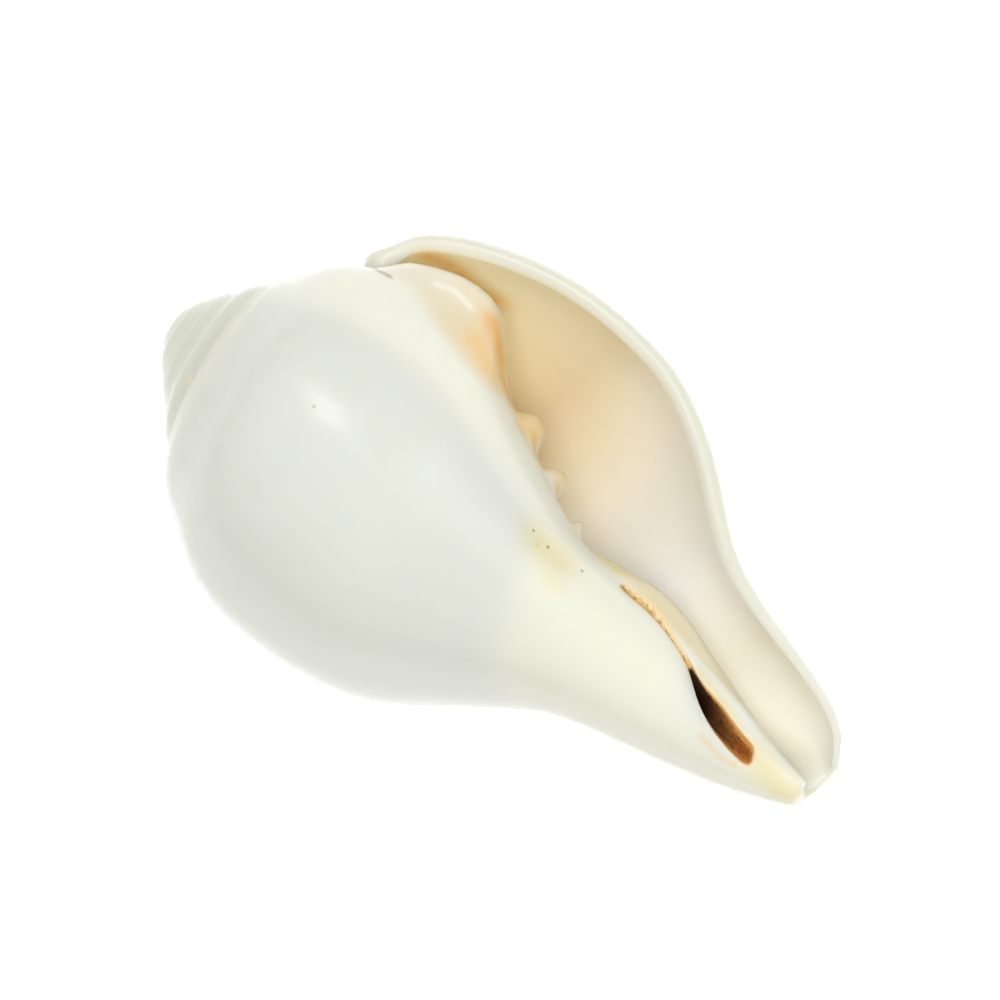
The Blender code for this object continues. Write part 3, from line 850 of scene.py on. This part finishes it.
def slot_looks(nodes, base, attributes):
    """The slot's ragged stain with its fibres and flecks and its dark brown with painted shade, and
    the crack above it, over a base colour: the colour, the fibres and the share that is in the slot."""
    station, slit, slot = attributes
    across, along = FIBRE_REPEATS
    fibres_place = nodes.stretched(nodes.times(slit, across), nodes.times(station, along), 0.0)
    fibres = nodes.noise(1.0, FIBRE_DETAIL, fibres_place, FIBRE_ROUGHNESS)
    stain = nodes.times(slot, nodes.plus(nodes.times(fibres, SLOT_RAGGED), SLOT_RAGGED_LEAST))
    base = nodes.mix(nodes.rise(stain, *SLOT_EDGE_FADE), base, SLOT_EDGE)

    light = nodes.mix(nodes.rise(station, *SLOT_BOTTOM_STATIONS), SLOT_FIBRE, SLOT_BOTTOM)
    # The upper slot is one dark brown with painted shade, and the fibres come out of it lower down.
    fibre = nodes.mix(nodes.rise(fibres, *FIBRE_FADE), SLOT_BROWN_AND_SHADE, light)
    fibre = nodes.mix(nodes.rise(station, *SLOT_FIBRE_STATIONS), SLOT_BROWN_AND_SHADE, fibre)
    near_flecks = nodes.band(station, FLECK_STATION, FLECK_REACH)
    flecks = nodes.times(nodes.rise(fibres, *FLECK_FADE), near_flecks)
    flecks = nodes.times(flecks, nodes.rise(slit, *FLECK_SIDE_FADE))
    fibre = nodes.mix(flecks, fibre, CRACK_MARGIN)

    above_slot = nodes.times(nodes.rise(station, *CRACK_STARTS), nodes.rise(station, *CRACK_ENDS))
    ragged = nodes.times(nodes.math("SUBTRACT", fibres, 0.5), CRACK_RAGGED)
    crack_side = nodes.plus(slit, ragged)
    margin = nodes.times(above_slot, nodes.band(crack_side, 0.0, CRACK_MARGIN_HALF_WIDTH))
    base = nodes.mix(margin, base, CRACK_MARGIN)
    crack = nodes.times(above_slot, nodes.band(crack_side, 0.0, CRACK_HALF_WIDTH))
    base = nodes.mix(crack, base, CRACK)
    in_slot = nodes.rise(stain, *SLOT_INSIDE_FADE)
    return nodes.mix(in_slot, base, fibre), fibres, in_slot


def shell_material(spots):
    """Polished shell: ivory outside, tan to cream inside with painted light near the lip, with its
    stains, painted shade in the crease and the fibrous slot darkened by painted shade.
    """
    material = bpy.data.materials.new("shell")
    material.use_nodes = True
    nodes = Nodes(material)
    shader = material.node_tree.nodes["Principled BSDF"]
    turn, station, slit, slot = map(nodes.attribute, ("turn", "station", "slit", "slot"))

    cloud = nodes.noise(CLOUD_SIZE)
    by_turn, by_station = LINES_REPEATS
    lines_place = nodes.stretched(nodes.times(turn, by_turn), nodes.times(station, by_station), 0.0)
    lines = nodes.noise(1.0, LINES_DETAIL, lines_place)
    tone = nodes.mix(cloud, CLOUD_LIGHT, CLOUD_DARK)
    tone = nodes.mix(nodes.times(lines, LINES_SHARE), tone, LINES_DARK)
    tint = nodes.add("ShaderNodeAttribute", {}, "Color", attribute_name="tint")
    base = nodes.mix(1.0, tint, tone, "MULTIPLY")
    for centre, radius, code in spots:
        base = nodes.mix(nodes.spot(centre, radius), base, code)
    base, fibres, in_slot = slot_looks(nodes, base, (station, slit, slot))
    nodes.fill(shader.inputs["Base Color"], base)
    shader.inputs["Subsurface Weight"].default_value = SUBSURFACE_WEIGHT
    shader.inputs["Subsurface Radius"].default_value = SUBSURFACE_RADIUS
    shader.inputs["Subsurface Scale"].default_value = SUBSURFACE_SCALE

    patches = nodes.times(nodes.noise(ROUGHNESS_PATCHES, 1.0), ROUGHNESS_VARIES)
    roughness = nodes.plus(patches, ROUGHNESS)
    roughness = nodes.plus(roughness, nodes.times(in_slot, SLOT_ROUGHER))
    nodes.fill(shader.inputs["Roughness"], roughness)
    waves = nodes.noise(WAVES_SIZE, 0.0)
    height = nodes.plus(nodes.times(lines, LINES_HEIGHT), waves)
    height = nodes.plus(height, nodes.times(nodes.times(fibres, in_slot), FIBRES_HEIGHT))
    inputs = {"Height": height, "Strength": BUMP_STRENGTH, "Distance": BUMP_DISTANCE}
    nodes.fill(shader.inputs["Normal"], nodes.add("ShaderNodeBump", inputs, "Normal"))
    return material


def floor_material():
    """A plain white floor that glows a little, so that shadows on it stay soft."""
    material = bpy.data.materials.new("studio_floor")
    material.use_nodes = True
    shader = material.node_tree.nodes["Principled BSDF"]
    shader.inputs["Base Color"].default_value = (FLOOR_GREY, FLOOR_GREY, FLOOR_GREY, 1.0)
    shader.inputs["Roughness"].default_value = FLOOR_ROUGHNESS
    shader.inputs["Emission Color"].default_value = (1.0, 1.0, 1.0, 1.0)
    shader.inputs["Emission Strength"].default_value = FLOOR_GLOW
    return material


def spot_at(points, places, turn, station, inside):
    """The mesh's point nearest to a place."""
    away = (places - (turn, station, inside)) * PLACE_SCALES
    return points[np.sum(away**2, axis=1).argmin()]


def stroke(points, places, path, inside, width):
    """A soft stroke along a path of (turn, station): 1 in its middle, and fading over its width."""
    spine = [spot_at(points, places, turn, station, inside) for turn, station in path]
    nearest = np.full(len(points), np.inf)
    for a, b in zip(spine[:-1], spine[1:]):
        along = np.clip((points - a) @ (b - a) / np.sum((b - a) ** 2), 0.0, 1.0)
        nearest = np.minimum(nearest, np.linalg.norm(points - a - along[:, None] * (b - a), axis=1))
    same_side = np.where(np.abs(places[:, 2] - inside) < 0.5, 1.0, 0.0)
    return same_side * np.exp(-((nearest / width) ** 2))


def rgb(code):
    """A linear colour without its alpha."""
    return np.array(colour(code)[:3])


def rise(value, low, high):
    """Goes smoothly from 0 where value is low to 1 where it is high."""
    return smooth((value - low) / (high - low))


def blend(share, one, other):
    """The points' colours between two others."""
    return one + share[:, None] * (other - one)


def along_stations(station, stops):
    """The points' colours from (station, colour) stops."""
    at = [stop for stop, code in stops]
    codes = np.array([rgb(code) for stop, code in stops])
    return np.stack([np.interp(station, at, codes[:, k]) for k in range(3)], -1)


def outer_side(places):
    """Where the outer surface and the inner wall are, apart from the spire and the deep hollow."""
    turn, station, inside = places.T
    return (inside < 0.5) & (turn > GLAZE_ENDS) & (station > SUTURE_STATION)


def wall_tints(places):
    """The ivory outside, the tan to cream inside with painted light near the lip, and the rim between
    them, at each point.
    """
    turn, station, inside = places.T
    spire = rise(turn, *SPIRE_TURNS_FADE) * rise(station, *SPIRE_STATIONS_FADE)
    near_spire = rise(station, *NEAR_SPIRE_STATIONS) * rise(turn, *NEAR_SPIRE_TURNS)
    outer = blend(np.maximum(spire, NEAR_SPIRE_SHARE * near_spire), rgb(IVORY), rgb(IVORY_SPIRE))
    # Near the lip the inside is paler, partly its own tone and partly painted light.
    least, most = NEAR_LIP_SHARES
    near_lip_and_light = least + (most - least) * rise(station, *NEAR_LIP_BRIGHTENS)
    near_lip_and_light = near_lip_and_light * rise(turn, *NEAR_LIP_TURNS) * rise(station, *NEAR_LIP_ENDS)
    inner = blend(near_lip_and_light, along_stations(station, INNER_COLOURS), rgb(INNER_NEAR_LIP_AND_LIGHT))
    tint = blend(rise(inside, *INSIDE_FADE), outer, inner)
    tint = blend(rise(inside, *RIM_OUTER_FADE) * rise(inside, *RIM_INNER_FADE), tint, rgb(RIM))
    middle, reach = RIM_CANAL_ACROSS
    canal_edge = rise(station, *RIM_CANAL_STATIONS) * rise(np.abs(inside - middle), reach, 0.0)
    return blend(RIM_CANAL_SHARE * canal_edge, tint, rgb(RIM_CANAL))


def tints(points, places):
    """The shell's colour at each point: the wall's, with the glaze, the plaits, the stains and the
    painted shade in the crease.
    """
    turn, station, _ = places.T
    tint = wall_tints(places)
    past_edge = -turn - through(station, GLAZE_STATIONS, GLAZE_EDGE)
    glazed = outer_side(places)
    tint = blend(rise(past_edge, *GLAZE_FADE) * glazed, tint, along_stations(station, GLAZE_COLOURS))
    highest = PLAITS[0][1]
    plait = np.clip(ridges(station, PLAITS, PLAIT_ROUNDNESS) / highest, 0.0, 1.0) ** 2
    tint = blend(rise(past_edge, *PLAIT_GLAZE_FADE) * glazed * plait, tint, rgb(PLAIT_TOP))
    # Each list of strokes is mixed in; the crease's adds painted shade as well as its tint.
    for name, strokes in STAINS_AND_SHADE.items():
        parts = []
        for side, width, share, path in strokes:
            parts.append(share * stroke(points, places, path, side, width))
        tint = blend(np.max(parts, axis=0), tint, rgb(STAIN_AND_SHADE_COLOURS[name]))
    return tint


def place_values(places):
    """The values that the material reads at each point, by attribute name."""
    turn, station, _ = places.T
    across = (turn - slit_turn(station)) * 360.0 / SLIT_HALF_ANGLE
    across = np.clip(across, -NO_SLIT, NO_SLIT)
    outer = outer_side(places)
    full, last, end = SLOT_STATIONS[1:]
    along_slot = rise(station, SLOT_STAIN_FROM, full) * rise(station, end, last)
    slot_width = np.where(across < 0.0, *SLOT_STAIN_WIDTHS) * slot_widening(station)
    stain = along_slot * np.exp(-((across / slot_width) ** SLIT_STEEPNESS))
    return {
        "turn": turn,
        "station": station,
        "slit": np.where(outer, across, NO_SLIT),
        "slot": np.where(outer, stain, 0.0),
    }


def wear_tip(mesh, places):
    """Wears the tip of the canal round, and turns all faces outwards."""
    net = bmesh.new()
    net.from_mesh(mesh)
    tip = [vertex for vertex, place in zip(net.verts, places) if place[1] > TIP_WORN_FROM]
    axes = {"use_axis_x": True, "use_axis_y": True, "use_axis_z": True}
    for _ in range(TIP_WORN_ROUNDS):
        bmesh.ops.smooth_vert(net, verts=tip, factor=TIP_WORN_SHARE, **axes)
    bmesh.ops.recalc_face_normals(net, faces=net.faces)
    net.to_mesh(mesh)
    net.free()


def add_shell():
    """The shell with its attributes and its material, in the place of the CAD node."""
    points, places, faces = shell_mesh()
    points = lying(points)
    points[:, 2] = np.maximum(points[:, 2], 0.0)
    mesh = bpy.data.meshes.new("shankha")
    mesh.from_pydata((points * MM).tolist(), [], faces)
    wear_tip(mesh, places)
    mesh.shade_smooth()
    for name, value in place_values(places).items():
        attribute = mesh.attributes.new(name, "FLOAT", "POINT")
        attribute.data.foreach_set("value", value.astype(np.float32))
    tint = np.column_stack([tints(points, places), np.ones(len(points))])
    attribute = mesh.attributes.new("tint", "FLOAT_COLOR", "POINT")
    attribute.data.foreach_set("color", tint.astype(np.float32).ravel())
    spots = []
    for place, radius, code in SPOTS:
        spots.append((spot_at(points, places, *place, 0.0), radius, code))
    mesh.materials.append(shell_material(spots))
    piece = bpy.data.objects.new("shankha", mesh)
    bpy.context.scene.collection.objects.link(piece)
    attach(piece, "root")
    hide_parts("shell")


def add_camera():
    """The camera looks at the shell as the photograph does."""
    slope, side, roll = np.radians((CAMERA_SLOPE, CAMERA_SIDE, CAMERA_ROLL))
    back = np.array((-np.cos(slope) * np.sin(side), -np.cos(slope) * np.cos(side), -np.sin(slope)))
    up = np.array((0.0, 0.0, 1.0)) - back[2] * back
    up = up / np.linalg.norm(up)
    right = np.cross(up, back)
    across = np.sin(roll) * right - np.cos(roll) * up
    upward = np.cos(roll) * right + np.sin(roll) * up
    shift_right, shift_up = CAMERA_SHIFT
    eye = np.array(CAMERA_AIM) + shift_right * right + shift_up * up + CAMERA_DISTANCE * back
    camera = bpy.data.objects.new("camera", bpy.data.cameras.new("camera"))
    axes = turned([across, upward, back])
    matrix = Matrix(axes.T.tolist()).to_4x4()
    matrix.translation = Vector((lying(eye) * MM).tolist())
    camera.matrix_world = matrix
    camera.data.sensor_width = SENSOR
    camera.data.lens = PIXELS_PER_MM * CAMERA_DISTANCE * SENSOR / PICTURE_PIXELS
    bpy.context.scene.collection.objects.link(camera)
    bpy.context.scene.camera = camera


def add_lamp(name, toward, distance, size, watts, glossy):
    """A soft square lamp in a direction from the shell. Glossy is False if no reflection shows it."""
    lamp = bpy.data.lights.new(name, "AREA")
    lamp.size = size
    lamp.energy = watts
    thing = bpy.data.objects.new(name, lamp)
    direction = Vector(toward).normalized()
    thing.location = direction * distance
    thing.rotation_euler = direction.to_track_quat("Z", "Y").to_euler()
    thing.visible_glossy = glossy
    bpy.context.scene.collection.objects.link(thing)


def add_studio():
    """The floor, the even light of the room and the lamps."""
    floor_mesh = bpy.data.meshes.new("studio_floor")
    h = FLOOR_HALF_WIDTH
    corners = [(-h, -h, 0.0), (h, -h, 0.0), (h, h, 0.0), (-h, h, 0.0)]
    floor_mesh.from_pydata(corners, [], [(0, 1, 2, 3)])
    floor_mesh.materials.append(floor_material())
    floor = bpy.data.objects.new("studio_floor", floor_mesh)
    bpy.context.scene.collection.objects.link(floor)
    world = bpy.data.worlds.new("studio")
    world.use_nodes = True
    background = world.node_tree.nodes["Background"]
    background.inputs["Color"].default_value = (1.0, 1.0, 1.0, 1.0)
    background.inputs["Strength"].default_value = WORLD_STRENGTH
    bpy.context.scene.world = world
    for lamp in LAMPS:
        add_lamp(*lamp)
    bpy.context.scene.view_settings.view_transform = "Standard"


add_shell()
add_camera()
add_studio()
